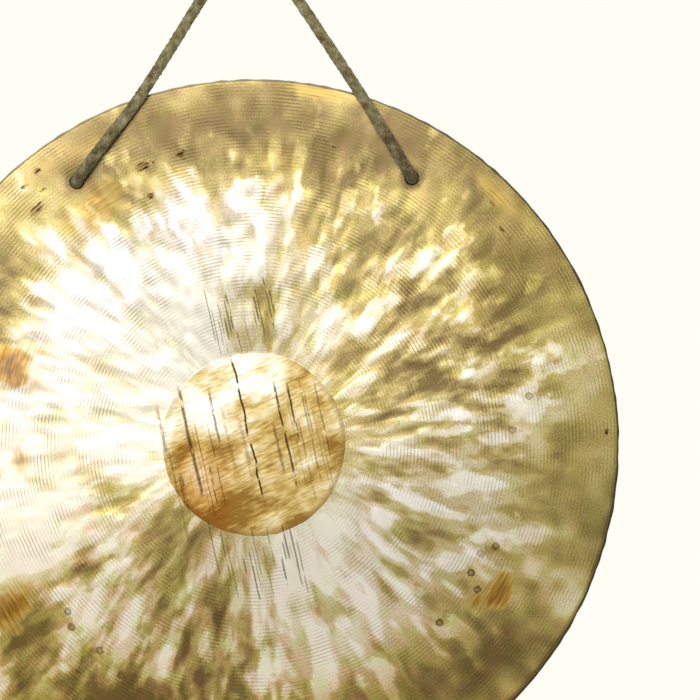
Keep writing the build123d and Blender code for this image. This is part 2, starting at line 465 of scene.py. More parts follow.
CREAM = (0.99, 0.935, 0.81)
PALE_GOLD = (0.79, 0.69, 0.50)
GOLD = (0.54, 0.42, 0.165)
OLIVE = (0.32, 0.24, 0.095)
BROWN = (0.19, 0.13, 0.055)
DARK = (0.018, 0.009, 0.004)
MARK = (0.05, 0.028, 0.010)
RUST = (0.30, 0.135, 0.018)
UMBER = (0.10, 0.045, 0.010)
FACE_TONES = ((0.0, BROWN), (0.20, OLIVE), (0.42, GOLD), (0.64, PALE_GOLD), (0.90, CREAM))
TINTS = ((0.34, (0.93, 1, 0.76)), (0.46, (0.97, 1, 0.88)), (0.56, (1, 0.99, 0.95)), (0.68, (1, 0.94, 0.85)))
WARM_TINTS = ((0.42, (0.965, 0.965, 0.79)), (0.58, (1.045, 0.90, 0.875)))
STAIN_TONES = ((0.10, (0.62, 0.44, 0.12)), (0.35, (0.44, 0.24, 0.035)), (0.58, RUST), (0.80, UMBER))
PATCH_TONES = (
    (0.08, (0.30, 0.16, 0.03)),
    (0.34, (0.58, 0.41, 0.13)),
    (0.56, (0.78, 0.65, 0.38)),
    (0.80, CREAM),
)


def fan(s, outward, radius, count, length, seed, feather=0.0):
    """Strokes along the radius, around 0: so many to a radian, that long in mm, feathered by the grooves."""
    x, _, z = s.split(s.vector("SCALE", outward, scale=count))
    if feather:
        row = s.math("FLOOR", s.divided(radius, GROOVE_PITCH_MM / 2))
        slip = s.times(s.random(row, seed), feather)
        x, z = s.add(x, slip), s.add(z, slip)
    height = s.add(s.divided(radius, length), seed * 7.3)
    return s.minus(s.noise(s.join(x, height, z), 1.0, roughness=0.6), 0.5)


def wander(s, along, wave, amount, seed):
    """How far a line strays to either side: up to half that many mm, in waves of that length."""
    return s.times(s.minus(s.noise(s.join(0.0, seed, s.times(along, 1 / wave)), 1.0), 0.5), amount)


def scratches(s, across, along, spacing, width, middle, reach, seed):
    """Thin lines that run along one way, one to a cell, each with its own place, length and strength."""
    position = s.divided(s.add(across, wander(s, along, 26, 2.4, seed)), spacing)
    cell = s.math("FLOOR", position)
    offset = s.minus(s.minus(position, cell), s.add(0.25, s.times(s.random(cell, seed), 0.5)))
    thick = s.times(width, s.add(0.45, s.random(cell, seed + 1)))
    line = s.minus(1.0, s.divided(s.times(s.size(offset), spacing), thick), clamp=True)
    centre = s.add(middle, s.times(s.minus(s.random(cell, seed + 2), 0.5), reach))
    half = s.times(reach, s.add(0.2, s.times(s.random(cell, seed + 3), 0.6)))
    past = s.minus(s.size(s.minus(along, centre)), half)
    line = s.times(line, s.fade(past, -8.0, 0.0))
    broken = s.noise(s.join(s.times(across, 0.5), s.times(along, 0.09), seed), 1.0, detail=3.0)
    skips = s.step(broken, 0.37, 0.47)
    strength = s.step(s.random(cell, seed + 4), 0.20, 0.75)
    return s.times(s.math("POWER", line, 0.5), strength, skips)


SCRATCH_LEAN = math.radians(12)
# in mm: spacing, width, where their middle is and how long they are, then a seed
DEEP_SCRATCHES = (9.5, 1.3, 2.0, 57.0, 11.0)
NEAR_SCRATCHES = (2.7, 0.62, -8.0, 50.0, 23.0)
COMB_ABOVE = (2.3, 0.52, 84.0, 30.0, 31.0)
COMB_BELOW = (2.6, 0.48, -76.0, 28.0, 36.0)
COMB_ABOVE_ASIDE = 13.0
COMB_BELOW_ASIDE = -17.0
COMB_STRENGTH = 2.2
COMB_LIMIT = 0.72


def all_scratches(s, x, z):
    """Dark scratches, close to upright: heavy ones across the centre patch, a fine comb above and below."""
    across = s.add(s.times(x, math.cos(SCRATCH_LEAN)), s.times(z, math.sin(SCRATCH_LEAN)))
    along = s.add(s.times(z, math.cos(SCRATCH_LEAN)), s.times(x, -math.sin(SCRATCH_LEAN)))
    aside = s.size(across)
    sides = s.add(0.12, s.times(s.band(aside, 20.0, 34.0, 56.0, 62.0), 0.88))
    deep = scratches(s, across, along, *DEEP_SCRATCHES)
    near = scratches(s, across, along, *NEAR_SCRATCHES)
    above = scratches(s, across, along, *COMB_ABOVE)
    below = scratches(s, across, along, *COMB_BELOW)
    above = s.times(above, s.near(across, COMB_ABOVE_ASIDE, 20.0, 27.0))
    below = s.times(below, s.near(across, COMB_BELOW_ASIDE, 28.0, 38.0))
    deep = s.times(deep, s.fade(aside, 58.0, 66.0))
    near = s.times(near, sides, s.step(across, -10.0, 10.0, 1.1, 0.62))
    comb = s.math("MINIMUM", s.times(s.larger(above, below), COMB_STRENGTH), COMB_LIMIT)
    fine = s.larger(near, comb)
    return s.larger(s.larger(deep, fine), long_scratch(s, across, along))


def long_scratch(s, across, along):
    """The one long scratch down the middle of the patch."""
    beside = s.size(s.add(across, wander(s, along, 18, 5.0, 5.0), 2.0))
    line = s.times(s.fade(beside, 0.25, 0.95), s.near(along, 12.0, 44.0, 52.0))
    broken = s.noise(s.join(7.0, 0.0, s.times(along, 1 / 9)), 1.0)
    return s.times(line, s.step(broken, 0.36, 0.50, 0.25, 1.0))


PUNCH_CIRCLE_MM = 182.0
PUNCH_SCATTER_MM = 22.0
PUNCH_SPACING = math.radians(3.6)
PUNCH_RING_MM = 1.9


def punch_marks(s, radius, angle):
    """Small ring-shaped punch marks, unevenly spaced round one circle of the face."""
    cell = s.math("FLOOR", s.divided(angle, PUNCH_SPACING))
    middle = s.times(s.add(cell, 0.3, s.times(s.random(cell, 40.0), 0.4)), PUNCH_SPACING)
    out = s.add(PUNCH_CIRCLE_MM, s.times(s.minus(s.random(cell, 41.0), 0.5), PUNCH_SCATTER_MM))
    across = s.times(s.minus(angle, middle), radius)
    away = s.vector("LENGTH", s.join(across, 0.0, s.minus(radius, out)))
    ragged = s.noise(s.join(s.times(angle, 90.0), s.times(radius, 0.5), 0.0), 1.0, detail=1.0)
    away = s.add(away, s.times(s.minus(ragged, 0.5), 2.4))
    ring = s.fade(s.size(s.minus(away, PUNCH_RING_MM)), 0.35, 1.25)
    dot = s.step(away, 0.2, 2.2, 0.65, 0.35)
    dot = s.times(dot, s.math("LESS_THAN", away, 2.2))
    lower_right = s.band(angle, -1.00, -0.95, -0.42, -0.36)
    lower_left = s.times(s.band(angle, -2.70, -2.62, -1.9, -1.82), 0.8)
    right = s.times(s.band(angle, 0.0, 0.05, 0.26, 0.32), 0.6)
    strength = s.step(s.random(cell, 42.0), 0.30, 0.80)
    return s.times(s.larger(ring, dot), strength, s.add(lower_right, lower_left, right))


DASH_ROW_MM = 2.0
DASH_ANGLE = 0.027


def dashes(s, radius, angle):
    """Short pits that follow the grooves, where the face is marked as pitted."""
    depth = s.divided(radius, DASH_ROW_MM)
    row = s.math("FLOOR", depth)
    place = s.add(s.divided(angle, DASH_ANGLE), s.times(s.random(row, 51.0), 7.0))
    cell = s.math("FLOOR", place)
    chosen = s.math("LESS_THAN", s.random(cell, row), s.times(s.attribute("pitted"), 0.35))
    aside = s.size(s.minus(s.minus(depth, row), 0.5))
    before = s.size(s.minus(s.minus(place, cell), 0.5))
    return s.times(chosen, s.fade(aside, 0.15, 0.42), s.fade(before, 0.18, 0.45))


def worked_tone(s, flat, radius, front):
    """How light the face is: its tone with painted light and shade, bright flecks along the radius as painted
    highlights and dull ones between them as painted shade, and with it the fine grain and the bump.
    """
    bent = s.warped(flat, 46.0, 9.0)
    outward = s.vector("NORMALIZE", bent)
    reach = s.add(s.vector("LENGTH", bent), s.times(front, FRONT_SHIFT_MM))
    broad = fan(s, outward, reach, 6.5, 46.0, 1)
    narrow = fan(s, outward, reach, 14.0, 26.0, 2, feather=0.11)
    flecks = s.add(s.times(broad, 0.60), s.times(narrow, 0.60))
    normal = s.bump(s.times(broad, 0.45))
    grain = s.minus(s.noise(flat, 1 / 1.1), 0.5)
    sparse = s.add(flecks, s.times(s.attribute("flecked"), 0.12))
    further = s.step(radius, 66, 160, 0.4, 1.0)
    # bright flecks are painted highlights, dull flecks painted shade
    bright = s.times(s.step(sparse, 0.11, 0.21), s.step(s.attribute("flecked"), 0.05, 0.45), further, 0.30)
    dull = s.times(s.fade(flecks, -0.14, -0.01), s.attribute("fleck_shade"), further, -0.28)
    return s.add(s.attribute("tone"), bright, dull, s.times(grain, 0.48)), grain, normal


def tinted(s, tone, hue, radius, x, z, up_left):
    """The metal's colour by its tone: warmer low on the left, paler high up and on the right."""
    colour = s.ramp(tone, *FACE_TONES)
    tint = s.ramp(hue, *TINTS)
    tarnish = s.step(tone, 0.55, 0.95, 1.0, 0.1)
    colour = s.mix(tarnish, colour, tint, "MULTIPLY")
    colour = s.mix(s.times(s.step(radius, 150, 210), tarnish), colour, (0.99, 1, 0.86), "MULTIPLY")
    low_left = s.add(z, s.times(x, 0.35))
    warm = s.times(s.fade(low_left, -190, 50), s.add(0.45, s.times(tarnish, 0.55)))
    colour = s.mix(warm, colour, s.ramp(hue, *WARM_TINTS), "MULTIPLY")
    pale = s.add(s.times(s.step(up_left, 20, 250), s.step(radius, 90, 200)), s.step(x, 20, 120, 0.0, 0.25))
    return s.mix(pale, colour, (0.95, 0.96, 1.28), "MULTIPLY")


def grooved(s, colour, hue, flat, radius, up_left):
    """The colour with the lathe's grooves in it, dark lines that come and go."""
    wave = s.math("SINE", s.times(s.add(radius, s.times(hue, 1.6)), 2 * math.pi / GROOVE_PITCH_MM))
    patchy = s.step(s.noise(s.vector("SCALE", flat, scale=1 / 19), 1.0, detail=1.0), 0.38, 0.70, 0.08, 0.85)
    line = s.math("POWER", s.add(0.5, s.times(wave, 0.5)), 4.0)
    cut = s.times(line, patchy, s.step(radius, 70, 110, 0.45, 1.0), s.step(up_left, -120, 40, 0.75, 1.0))
    return s.mix(cut, colour, s.mix(0.78, colour, (0.26, 0.18, 0.08), "MULTIPLY"))


def weathered(s, colour, hue, grain, radius, x, z, front):
    """The colour with stains, punch marks and a dark cut edge, and where the pits' dark spots are."""
    angle = s.math("ARCTAN2", z, x)
    streak = s.noise(s.join(s.times(angle, 12.0), s.times(radius, 0.55), 0.0), 1.0)
    stain = s.attribute("stain")
    core = s.add(s.times(stain, 0.75), s.times(s.minus(streak, 0.5), 1.2), s.times(grain, 0.3))
    core = s.ramp(core, *STAIN_TONES)
    colour = s.mix(s.times(s.step(stain, 0.02, 0.45), front, 0.9), colour, core)
    edge = s.step(s.add(radius, s.times(hue, 1.6)), RADIUS_MM - 1.1, RADIUS_MM - 0.2)
    colour = s.mix(s.times(edge, 0.9), colour, (0.06, 0.05, 0.028))
    pitted = s.attribute("pitted")
    spot = s.noise(s.join(s.times(angle, 24.0), s.times(radius, 0.8), 3.0), 1.0, detail=1.0)
    halo = s.step(s.add(pitted, s.times(spot, 0.8)), 0.66, 1.15, 0.0, 0.50)
    colour = s.mix(halo, colour, (0.15, 0.065, 0.02))
    spot = s.times(s.step(pitted, 0.1, 0.8), s.step(spot, 0.48, 0.58))
    pits = s.larger(spot, dashes(s, radius, angle))
    punched = s.times(punch_marks(s, radius, angle), front, 0.9)
    return s.mix(punched, colour, (0.15, 0.08, 0.02)), pits


def turned_material(name, outer):
    """The lathed face: flecks and grooves, with scratches inside, or stains, pits and punch marks outside."""
    s = Shader(name)
    x, y, z = s.split(s.object_mm(GONG_CENTRE))
    front = s.math("LESS_THAN", y, 0.0)
    flat = s.join(x, 0.0, z)
    radius = s.vector("LENGTH", flat)
    tone, grain, normal = worked_tone(s, flat, radius, front)
    hue = s.noise(flat, 1 / 14 if outer else 1 / 22, detail=5.0, roughness=0.62)
    up_left = s.add(z, s.times(x, -0.5))
    colour = tinted(s, tone, hue, radius, x, z, up_left)
    colour = grooved(s, colour, hue, flat, radius, up_left)
    if outer:
        colour, marks = weathered(s, colour, hue, grain, radius, x, z, front)
    else:
        marks = all_scratches(s, x, z)
    mark = s.mix(s.step(marks, 0.3, 0.9), (0.30, 0.18, 0.05), DARK if outer else MARK)
    return s.finish(
        Base_Color=s.mix(s.times(marks, front, 0.96), colour, mark),
        Metallic=0.95,
        Roughness=s.add(0.30, s.times(grain, 0.12)),
        Anisotropic=0.5,
        Tangent=s.node("ShaderNodeTangent", direction_type="RADIAL", axis="Y").outputs[0],
        Normal=normal,
    )


STROKE_RISE = math.radians(24)


def patch_material():
    """The centre left as forged: brown and gold blotches under light strokes that rise to the right."""
    s = Shader("forged_bronze")
    x, y, z = s.split(s.object_mm(GONG_CENTRE))
    front = s.math("LESS_THAN", y, 0.0)
    radius = s.vector("LENGTH", s.join(x, 0.0, z))
    along = s.add(s.times(x, math.cos(STROKE_RISE)), s.times(z, math.sin(STROKE_RISE)))
    over = s.add(s.times(x, -math.sin(STROKE_RISE)), s.times(z, math.cos(STROKE_RISE)))
    stroke = s.noise(s.join(s.times(along, 1 / 9), s.times(over, 1 / 1.7), 2.0), 1.0, roughness=0.6)
    place = s.join(s.times(along, 1 / 30), s.times(over, 1 / 21), s.times(front, 4.0))
    blotch = s.noise(place, 1.0, detail=3.0)
    lower_left = s.times(s.band(x, -62, -48, -28, -8), s.step(z, -40, 20, 0.9, 0.0), front)
    # lighter up on the left and towards the top, darker at the bottom: painted light and shade from the lamp
    # up on the left
    upper_left = s.step(s.add(s.times(z, 0.75), s.times(x, -0.66)), 14, 52, 0.0, 0.27)
    bottom = s.step(z, -56.0, -26.0, -0.32, 0.0)
    tone = s.add(s.times(stroke, 0.62), s.times(blotch, 2.0), s.times(z, 0.0016))
    tone = s.add(tone, upper_left, s.times(lower_left, -0.16), bottom, -0.88)
    colour = s.ramp(tone, *PATCH_TONES)
    lower_right = s.step(s.add(x, s.times(z, -0.9)), -10, 45)
    rim = s.times(s.step(radius, PATCH_RADIUS_MM - 5.0, PATCH_RADIUS_MM - 1.0), s.step(stroke, 0.30, 0.55))
    rim = s.times(rim, s.add(0.30, s.times(lower_right, 0.4)))
    colour = s.mix(rim, colour, (0.26, 0.15, 0.04))
    colour = s.mix(lower_left, colour, (0.90, 0.66, 0.45), "MULTIPLY")
    marks = s.times(all_scratches(s, x, z), front)
    mark = s.mix(s.step(marks, 0.2, 0.7), (0.24, 0.11, 0.03), DARK)
    return s.finish(
        Base_Color=s.mix(s.times(marks, 0.97), colour, mark),
        Metallic=0.95,
        Roughness=s.add(0.26, s.times(stroke, 0.22)),
        Normal=s.bump(s.add(s.times(stroke, 0.10), s.times(blotch, 0.5), s.times(marks, -0.15))),
    )


# ---- gong plate ----
AROUND = 576
MIDDLE_RING = 3 * MM            # radius of the innermost rings, front and back
PATCH_STEP = 0.02 * MM
MIDDLE_THICK = 1.6 * MM
EDGE_THICK = 1.2 * MM
ROLL_WIDTH = 2 * MM
ROLL_DEPTH = 0.1 * MM
CUT_UNEVEN = 0.13 * MM
PATCH_UNEVEN = 1.5 * MM
PATCH_UNEVEN_REACH = 9 * MM     # how far from the patch's edge the rings follow its waves
DENTS = 1500
SMEAR_SAMPLES = 9
OUTER, INNER, PATCH = range(3)  # the plate's material slots


def plate_profile(radius):
    """Middle surface's y and half the thickness at a radius."""
    roll_start = GONG_RADIUS - ROLL_WIDTH
    share = min(1.0, radius / roll_start)
    half = (MIDDLE_THICK + (EDGE_THICK - MIDDLE_THICK) * share) / 2
    if radius < PATCH_RADIUS_MM * MM:
        half += PATCH_STEP
    bend = (ROLL_WIDTH**2 + ROLL_DEPTH**2) / (2 * ROLL_DEPTH)
    past = max(0.0, radius - roll_start)
    return bend - math.sqrt(max(0.0, bend**2 - past**2)), half


def value_noise(x, z, size, seed):
    """Smooth random field, 0 to 1, with features of that size."""
    lattice = np.random.default_rng(seed).random((256, 256))
    u, v = x / size + 100.0, z / size + 100.0
    i, j = np.floor(u).astype(int), np.floor(v).astype(int)
    f, g = u - i, v - j
    f, g = f * f * (3 - 2 * f), g * g * (3 - 2 * g)
    i, j = i % 255, j % 255
    low = lattice[i, j] * (1 - f) + lattice[i + 1, j] * f
    high = lattice[i, j + 1] * (1 - f) + lattice[i + 1, j + 1] * f
    return low * (1 - g) + high * g


def smeared(x, z, width, length, seed):
    """Noise smeared along the radius, with mean 0 and spread 1: the look of work from the centre out."""
    radius = np.hypot(x, z) + 1e-9
    total = 0
    for shift in np.linspace(-length / 2, length / 2, SMEAR_SAMPLES):
        total = total + value_noise(x * (1 + shift / radius), z * (1 + shift / radius), width, seed)
    return (total - total.mean()) / total.std()


def clouds(x, z, *layers):
    """Layers of noise, each with its size, seed and share, added up around 0."""
    return sum(share * value_noise(x, z, size, seed) for size, seed, share in layers) - 0.5


def smooth_step(value, low, high):
    t = np.clip((value - low) / (high - low), 0, 1)
    return t * t * (3 - 2 * t)


def dents(x, z):
    """Height of single hammer marks, in mm."""
    rng = np.random.default_rng(7)
    height = np.zeros_like(x)
    for _ in range(DENTS):
        radius = RADIUS_MM * math.sqrt(rng.uniform(0.075, 0.86))
        angle = rng.uniform(-math.pi, math.pi)
        long = rng.uniform(4, 10)
        wide = rng.uniform(2.2, 4.2)
        depth = rng.choice([-1, 1]) * rng.uniform(0.05, 0.15)
        dx, dz = x - radius * math.cos(angle), z - radius * math.sin(angle)
        near = np.abs(dx) + np.abs(dz) < 30
        u = dx[near] * math.cos(angle) + dz[near] * math.sin(angle)
        v = -dx[near] * math.sin(angle) + dz[near] * math.cos(angle)
        height[near] += depth * np.exp(-((u / long) ** 2) - (v / wide) ** 2)
    return height


# broad lighter and darker patches over the face, mostly painted light and shade from the lamp up on the left,
# some of them the metal's own tone: x, z, radius and fade in mm, and how much lighter
PAINTED_LIGHT_AND_TONE_PATCHES = [
    (-40, -200, 40, 90, -0.16), (-80, 50, 20, 130, 0.10), (-110, -40, 10, 60, -0.12),
    (60, 225, 40, 110, -0.14), (45, -95, 20, 60, 0.17), (60, -235, 20, 70, -0.10),
    (140, 70, 20, 70, -0.22), (205, -150, 20, 60, 0.07), (-225, -60, 20, 90, 0.26),
    (-174, -142, 10, 34, 0.36), (235, 60, 20, 100, 0.20), (190, -60, 20, 70, 0.08),
    (-5, 91, 12, 24, -0.30), (-90, -165, 20, 50, -0.08), (-45, -68, 14, 28, -0.30),
    (145, -180, 20, 50, -0.10), (215, -85, 20, 50, 0.13), (-205, -90, 20, 55, 0.12),
    (-120, -45, 20, 55, -0.07), (-185, -165, 10, 45, 0.10), (-190, 100, 20, 60, -0.14),
    (225, 50, 10, 40, 0.06), (-165, 165, 20, 50, 0.18), (-160, -60, 20, 50, 0.20),
    (38, 72, 10, 26, 0.14), (-31, 76, 8, 26, 0.06), (34, -84, 14, 30, 0.08),
    (76, 31, 8, 26, -0.10), (178, 75, 16, 36, -0.05), (-75, 185, 20, 60, -0.09),
    (80, 178, 20, 50, -0.07), (-88, 170, 10, 26, -0.16), (165, -50, 60, 60, -0.07),
    (50, 118, 15, 45, -0.12),
]
# x, z, half length along the grooves, half width across them, and strength
STAINS = [
    (166, -103, 19, 11, 0.82), (152, -108, 12, 8, 0.45), (154, -92, 24, 16, 0.16), (-166, 55, 22, 20, 0.85),
    (-150, 44, 24, 20, 0.28), (-172, -112, 16, 24, 0.8), (-160, -10, 10, 8, 0.4), (-105, 165, 45, 22, 0.27),
    (168, 170, 42, 9, 0.26), (48, 240, 30, 8, 0.28), (-120, 200, 60, 12, 0.14), (20, 190, 50, 18, 0.14),
    (150, 90, 22, 14, 0.20),
]
# x, z and how far they spread
PITS = [
    (-147, 162, 9), (-146, 189, 5), (-155, 178, 4), (-142, 176, 4), (-74, 191, 9),
    (-69, 171, 5), (-48, 199, 6), (57, 203, 4), (76, 190, 3), (165, 163, 4),
    (171, 146, 4), (177, 139, 4), (242, 6, 3), (105, -178, 4),
]


def diagonal(x, z, right, up):
    """1 in one diagonal direction from the gong's centre, falling to 0 a quarter turn away from it."""
    return np.clip((right * x + up * z) / (np.hypot(x, z) + 1e-9) / math.sqrt(2), 0, 1) ** 3


def from_spot(x, z, spot_x, spot_z):
    """Where points lie from a spot on the face: outward, and along the grooves."""
    out = math.hypot(spot_x, spot_z)
    outward = ((x - spot_x) * spot_x + (z - spot_z) * spot_z) / out
    along = ((z - spot_z) * spot_x - (x - spot_x) * spot_z) / out
    return outward, along


def stained(x, z):
    ragged = 0.6 + 0.5 * value_noise(x, z, 9, 21) + 0.4 * value_noise(x, z, 4, 22)
    stain = np.zeros_like(x)
    for spot_x, spot_z, long, wide, strength in STAINS:
        outward, along = from_spot(x, z, spot_x, spot_z)
        spread = 1 - smooth_step(np.hypot(outward / wide, along / long) * ragged, 0.0, 1.3)
        stain = np.maximum(stain, strength * spread)
    return stain


def pitted(x, z):
    pits = np.zeros_like(x)
    for spot_x, spot_z, size in PITS:
        outward, along = from_spot(x, z, spot_x, spot_z)
        pits = np.maximum(pits, 1 - smooth_step(np.hypot(outward * 1.8, along), 0.2 * size, size))
    return pits


def face_work(x, z):
    """For points of the face in mm: height in mm, tone with painted light and shade, how flecked, how much
    painted shade lies between the flecks, how stained and pitted.
    """
    share = np.hypot(x, z) / RADIUS_MM
    low_left, low_right = diagonal(x, z, -1, -1), diagonal(x, z, 1, -1)
    bent_x = x + 6 * (value_noise(x, z, 22, 31) - 0.5)
    bent_z = z + 6 * (value_noise(x, z, 22, 32) - 0.5)
    single = dents(x, z)
    relief = 0.45 * smeared(bent_x, bent_z, 5.5, 16, 1) + 0.6 * smeared(bent_x, bent_z, 9, 26, 2)
    relief = relief + 0.5 * smeared(bent_x, bent_z, 16, 36, 3) + 3 * single

    flecked = smooth_step(share, 0.23, 0.27) * (1 - (0.72 - 0.60 * low_left) * smooth_step(share, 0.66, 0.93))
    rarer = 0.6 * (1 - flecked)
    # bright flecks: painted highlights where the hammer dents catch the light; dull ones: painted shade
    # between them
    bright = smooth_step(relief, 0.35 + rarer, 0.95 + rarer) * smooth_step(flecked, 0.02, 0.3)
    bright *= 1 - (1 - 0.8 * low_left) * smooth_step(share, 0.80, 0.90)
    dull = smooth_step(-relief, 0.35, 1.3) * flecked
    # lighter up on the left, towards the lamp, with softer flecks there: painted light
    painted_lit_side = smooth_step((z - x) / 120 + value_noise(x, z, 40, 14), 0.2, 1.6)
    painted_lit_side *= 1 - smooth_step(share, 0.66, 0.86)
    flecked *= 1 - 0.62 * smooth_step(low_right, 0.15, 0.7) * smooth_step(share, 0.36, 0.6)

    tone = 0.56 + (1 - 0.45 * painted_lit_side) * (0.27 * bright - 0.24 * dull) + 0.14 * painted_lit_side
    tone += 0.40 * clouds(x, z, (60, 5, 0.5), (28, 6, 0.3), (13, 8, 0.2))
    tone -= 0.34 * smooth_step(share, 0.60, 0.93)
    outer_cloud = clouds(x, z, (21, 41, 0.6), (9, 42, 0.4)) * smooth_step(share, 0.70, 0.85)
    tone += (0.40 + 0.35 * smooth_step(-z, 0, 120)) * outer_cloud
    # lighter and darker patches: mostly painted light and shade, some the metal's own tone
    for shade_x, shade_z, size, fade, lighter in PAINTED_LIGHT_AND_TONE_PATCHES:
        tone += lighter * (1 - smooth_step(np.hypot(x - shade_x, z - shade_z), size, size + fade))
    # a dark band along the rim at the lower right: painted shade
    tone -= 0.4 * low_right * smooth_step(share + 0.006 * (value_noise(x, z, 14, 9) - 0.5), 0.982, 0.993)
    # darker round both holes, where the cord goes through: painted shade
    for hole_x in HOLE_XS.values():
        from_hole = np.hypot(x - hole_x / MM, z - (HOLE_HEIGHT - GONG_CENTRE.z) / MM)
        tone -= 0.30 * (1 - smooth_step(from_hole, 5.5, 10))
    pits = pitted(x, z)
    tone -= 0.05 * pits

    height = flecked * (0.08 * np.clip(relief, -2, 2) + single)
    height += 0.25 * np.sin(x / 55 + 1.0) * np.sin(z / 70 + 2.0)
    return height, tone, flecked, flecked * (1 - 0.85 * painted_lit_side), 0.95 * stained(x, z), pits


def wavy_outline(angles, seed, highest, falling):
    """An uneven circle: offsets within about 1, from waves up to that many to a turn."""
    rng = random.Random(seed)
    waves = []
    for n in range(3, highest, 2):
        waves.append((n, rng.uniform(0, 2 * math.pi), rng.uniform(0.3, 1) * 0.5 / n**falling))
    return sum(size * np.cos(n * angles + start) for n, start, size in waves)


def plate_rings():
    """Radius and side, -1 in front, of each ring of points, from the front's middle round to the back's."""
    patch = PATCH_RADIUS_MM * MM
    roll = GONG_RADIUS - ROLL_WIDTH
    front = [
        *np.linspace(MIDDLE_RING, patch - 1 * MM, 18),
        patch - 0.2 * MM,
        patch + 0.5 * MM,
        *np.linspace(patch + 2 * MM, roll, 94),
        *np.linspace(roll + 0.6 * MM, GONG_RADIUS, 8),
    ]
    back = [
        *np.linspace(GONG_RADIUS, roll, 6),
        *np.linspace(roll - 5 * MM, patch, 27),
        *np.linspace(patch - 5 * MM, MIDDLE_RING, 9),
    ]
    return [(radius, -1) for radius in front] + [(radius, 1) for radius in back]


def plate_points(rings):
    """The points of all the rings about the gong's centre, hammered."""
    angles = np.arange(AROUND) * 2 * math.pi / AROUND
    cut_edge = CUT_UNEVEN * wavy_outline(angles, 3, 160, 0.1)
    patch_edge = PATCH_UNEVEN * wavy_outline(angles, 5, 60, 0.75)
    points = []
    for radius, side in rings:
        middle, half = plate_profile(radius)
        near_cut = max(0.0, (radius / GONG_RADIUS - 0.9) / 0.1)
        near_patch = math.exp(-(((radius - PATCH_RADIUS_MM * MM) / PATCH_UNEVEN_REACH) ** 2))
        grown = radius + cut_edge * near_cut + patch_edge * near_patch
        y = np.full(AROUND, middle + side * half)
        points.append(np.stack([grown * np.cos(angles), y, grown * np.sin(angles)], axis=1))
    points = np.concatenate(points)
    points[:, 1] -= face_work(points[:, 0] / MM, points[:, 2] / MM)[0] * MM
    return points


def band_slot(first, second):
    """The material slot of the band between two rings that follow each other."""
    if max(first, second) < PATCH_RADIUS_MM * MM + 0.1 * MM:
        return PATCH
    return INNER if first < INNER_ZONE_MM * MM else OUTER


def gong_plate():
    """The disc: hammered and turned front and back, edge dressed back, two holes."""
    rings = plate_rings()
    points = plate_points(rings)
    middles = [np.mean(points[:AROUND], axis=0), np.mean(points[-AROUND:], axis=0)]
    front_middle, back_middle = len(points), len(points) + 1
    last_ring = len(points) - AROUND
    points = np.concatenate([points, middles]) + np.array(GONG_CENTRE)
    faces = tube_faces(len(rings), AROUND, 0)
    faces += [(front_middle, (k + 1) % AROUND, k) for k in range(AROUND)]
    faces += [(back_middle, last_ring + k, last_ring + (k + 1) % AROUND) for k in range(AROUND)]
    plate = mesh_object("gong_disc", points, faces)
    plate.data.materials.append(turned_material("outer_bronze", True))
    plate.data.materials.append(turned_material("inner_bronze", False))
    plate.data.materials.append(patch_material())
    slots = [band_slot(first, second) for (first, _), (second, _) in zip(rings, rings[1:])]
    slots = np.repeat([*slots, PATCH, PATCH], AROUND).astype(np.int32)
    plate.data.polygons.foreach_set("material_index", slots)
    bm = bmesh.new()
    bm.from_mesh(plate.data)
    for x in HOLE_XS.values():
        open_hole(bm, x)
    bmesh.ops.recalc_face_normals(bm, faces=bm.faces)
    bm.to_mesh(plate.data)
    bm.free()
    plate.data.set_sharp_from_angle(angle=math.radians(40))
    place = np.empty(len(plate.data.vertices) * 3)
    plate.data.vertices.foreach_get("co", place)
    place = (place.reshape(-1, 3) - np.array(GONG_CENTRE)) / MM
    _, *fields = face_work(place[:, 0], place[:, 2])
    for name, values in zip(("tone", "flecked", "fleck_shade", "stain", "pitted"), fields):
        store(plate.data, name, values)
    return plate


HOLE_SEGMENTS = 48
HOLE_EDGE = 0.2 * MM            # the drilled edge is broken by this much


def walked(edges, centre):
    """The vertices of a closed loop of edges, anticlockwise round a hole from its right-hand side."""
    beside = {}
    for edge in edges:
        for one, other in (edge.verts, reversed(edge.verts)):
            beside.setdefault(one, []).append(other)
    loop = [max(beside, key=lambda v: v.co.x)]
    before = None
    while len(loop) < len(beside):
        step = next(v for v in beside[loop[-1]] if v is not before)
        before = loop[-1]
        loop.append(step)
    area = sum((a.co - centre).cross(b.co - centre).y for a, b in zip(loop, loop[1:] + loop[:1]))
    return loop if area < 0 else loop[:1] + loop[:0:-1]


def unwound(loop, centre):
    """The angles of an ordered loop's vertices round a hole, with the first again after the whole turn."""
    angles = np.array([math.atan2(v.co.z - centre.z, v.co.x - centre.x) for v in loop + loop[:1]])
    return np.unwrap(angles)


def zip_loops(bm, outer, inner, centre):
    """Fills between two loops of vertices that run the same way and start side by side."""
    outer_angles, inner_angles = unwound(outer, centre), unwound(inner, centre)
    i = j = 0
    while i < len(outer) or j < len(inner):
        a, b = outer[i % len(outer)], inner[j % len(inner)]
        if j == len(inner) or (i < len(outer) and outer_angles[i + 1] < inner_angles[j + 1]):
            i += 1
            third = outer[i % len(outer)]
        else:
            j += 1
            third = inner[j % len(inner)]
        bm.faces.new((a, b, third)).smooth = True


